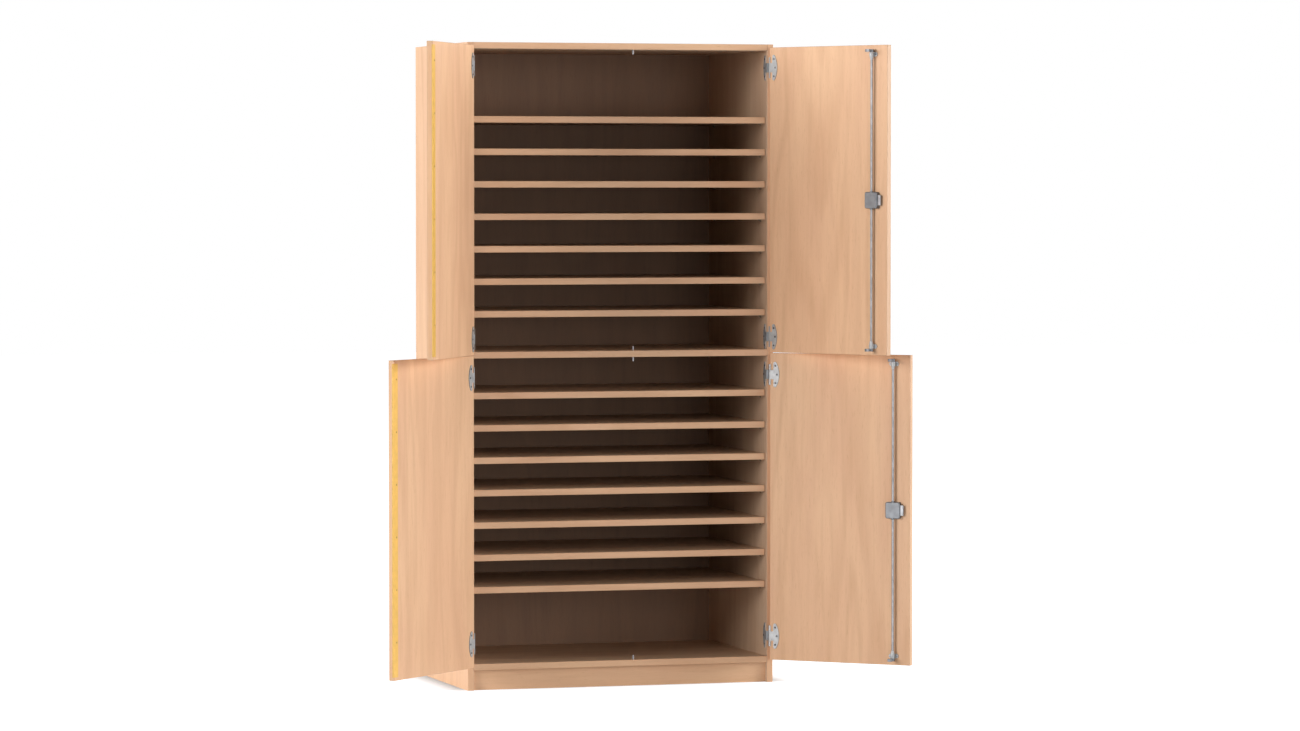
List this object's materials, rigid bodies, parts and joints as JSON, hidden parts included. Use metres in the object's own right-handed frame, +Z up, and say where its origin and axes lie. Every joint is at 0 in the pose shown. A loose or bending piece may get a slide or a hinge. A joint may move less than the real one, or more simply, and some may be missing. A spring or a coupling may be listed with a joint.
{
  "type": "craft_cabinet",
  "caption": "Tall wood-decor craft cabinet with four hinged doors, loose shelves over and under a fixed middle shelf, and turning-rod locks",
  "frame": {"origin": "on the floor at the middle of the plinth board's underside", "axes": "+Z up, -Y out of the open front, +X to the right seen from the front"},
  "size_m": [1.602, 1.0351, 1.916],
  "materials": {
    "door_board": "beech decor, vertical grain",
    "side_board": "beech decor, vertical grain",
    "cross_board": "beech decor, grain across",
    "shelf_board": "beech decor, grain across",
    "back_board": "beech decor, vertical grain",
    "peg_plastic": "moulded",
    "hinge_metal": "nickel plated",
    "lock_zinc": "cast zinc",
    "grip_metal": "satin nickel",
    "rod_steel": "zinc plated",
    "stop_strip": "satin yellow"
  },
  "bodies": {
    "carcass": {"left_side_panel": "side_board", "right_side_panel": "side_board", "top_panel": "cross_board", "bottom_panel": "cross_board", "middle_shelf": "shelf_board", "plinth_board": "cross_board", "back_panel": "back_board", "shelf_pegs": "peg_plastic", "striker_pins": "rod_steel", "hinge_pins": "hinge_metal", "upper_shelf_1": "shelf_board", "upper_shelf_2": "shelf_board", "upper_shelf_3": "shelf_board", "upper_shelf_4": "shelf_board", "upper_shelf_5": "shelf_board", "upper_shelf_6": "shelf_board", "upper_shelf_7": "shelf_board", "lower_shelf_1": "shelf_board", "lower_shelf_2": "shelf_board", "lower_shelf_3": "shelf_board", "lower_shelf_4": "shelf_board", "lower_shelf_5": "shelf_board", "lower_shelf_6": "shelf_board", "lower_shelf_7": "shelf_board", "upper_left_carcass_leaf_top": "hinge_metal", "upper_left_carcass_leaf_bottom": "hinge_metal", "upper_right_carcass_leaf_top": "hinge_metal", "upper_right_carcass_leaf_bottom": "hinge_metal", "lower_left_carcass_leaf_top": "hinge_metal", "lower_left_carcass_leaf_bottom": "hinge_metal", "lower_right_carcass_leaf_top": "hinge_metal", "lower_right_carcass_leaf_bottom": "hinge_metal"},
    "upper_left_door": {"upper_left_door": "door_board", "upper_left_door_leaf_top": "hinge_metal", "upper_left_door_leaf_bottom": "hinge_metal", "upper_stop_strip": "stop_strip"},
    "upper_right_door": {"upper_right_door": "door_board", "upper_right_door_leaf_top": "hinge_metal", "upper_right_door_leaf_bottom": "hinge_metal", "upper_lock_case": "lock_zinc", "upper_rod_guides": "lock_zinc"},
    "upper_rod": {"upper_lock_rod": "rod_steel", "upper_rod_hooks": "rod_steel"},
    "upper_bolt": {"upper_lock_bolt": "lock_zinc"},
    "upper_grip": {"upper_turn_grip": "grip_metal"},
    "lower_left_door": {"lower_left_door": "door_board", "lower_left_door_leaf_top": "hinge_metal", "lower_left_door_leaf_bottom": "hinge_metal", "lower_stop_strip": "stop_strip"},
    "lower_right_door": {"lower_right_door": "door_board", "lower_right_door_leaf_top": "hinge_metal", "lower_right_door_leaf_bottom": "hinge_metal", "lower_lock_case": "lock_zinc", "lower_rod_guides": "lock_zinc"},
    "lower_rod": {"lower_lock_rod": "rod_steel", "lower_rod_hooks": "rod_steel"},
    "lower_bolt": {"lower_lock_bolt": "lock_zinc"},
    "lower_grip": {"lower_turn_grip": "grip_metal"}
  },
  "joints": [
    {"name": "upper_left_door_hinge", "type": "hinge", "parent": "carcass", "child": "upper_left_door", "pos_m": [-0.4611, -0.03455, 1.45005], "axis": [0, 0, -1], "range_deg": [-120, 30]},
    {"name": "upper_right_door_hinge", "type": "hinge", "parent": "carcass", "child": "upper_right_door", "pos_m": [0.4611, -0.03455, 1.45005], "axis": [0, 0, 1], "range_deg": [-120.9, 29.1]},
    {"name": "upper_rod_turn", "type": "hinge", "parent": "upper_right_door", "child": "upper_rod", "pos_m": [0.65716, -0.3934, 1.45005], "axis": [0, 0, 1], "range_deg": [0, 45]},
    {"name": "upper_bolt_slide", "type": "slide", "parent": "upper_right_door", "child": "upper_bolt", "axis": [0.5135, -0.8581, 0], "range_m": [0, 0.0125]},
    {"name": "upper_grip_turn", "type": "hinge", "parent": "upper_right_door", "child": "upper_grip", "pos_m": [0.6719, -0.39856, 1.45005], "axis": [0.8581, 0.5135, 0], "range_deg": [0, 92]},
    {"name": "lower_left_door_hinge", "type": "hinge", "parent": "carcass", "child": "lower_left_door", "pos_m": [-0.4611, -0.03455, 0.5302], "axis": [0, 0, -1], "range_deg": [-135.2, 14.8]},
    {"name": "lower_right_door_hinge", "type": "hinge", "parent": "carcass", "child": "lower_right_door", "pos_m": [0.4611, -0.03455, 0.5302], "axis": [0, 0, 1], "range_deg": [-137.3, 12.7]},
    {"name": "lower_rod_turn", "type": "hinge", "parent": "lower_right_door", "child": "lower_rod", "pos_m": [0.7505, -0.32344, 0.5302], "axis": [0, 0, 1], "range_deg": [0, 45]},
    {"name": "lower_bolt_slide", "type": "slide", "parent": "lower_right_door", "child": "lower_bolt", "axis": [0.7349, -0.6782, 0], "range_m": [0, 0.0125]},
    {"name": "lower_grip_turn", "type": "hinge", "parent": "lower_right_door", "child": "lower_grip", "pos_m": [0.7661, -0.32423, 0.5302], "axis": [0.6782, 0.7349, 0], "range_deg": [0, 92]}
  ],
  "couplings": [
    {"joint": "upper_grip_turn", "follows": "upper_rod_turn", "ratio": 2},
    {"joint": "upper_bolt_slide", "follows": "upper_rod_turn", "m_per_rad": 0.015},
    {"joint": "lower_grip_turn", "follows": "lower_rod_turn", "ratio": 2},
    {"joint": "lower_bolt_slide", "follows": "lower_rod_turn", "m_per_rad": 0.015}
  ]
}
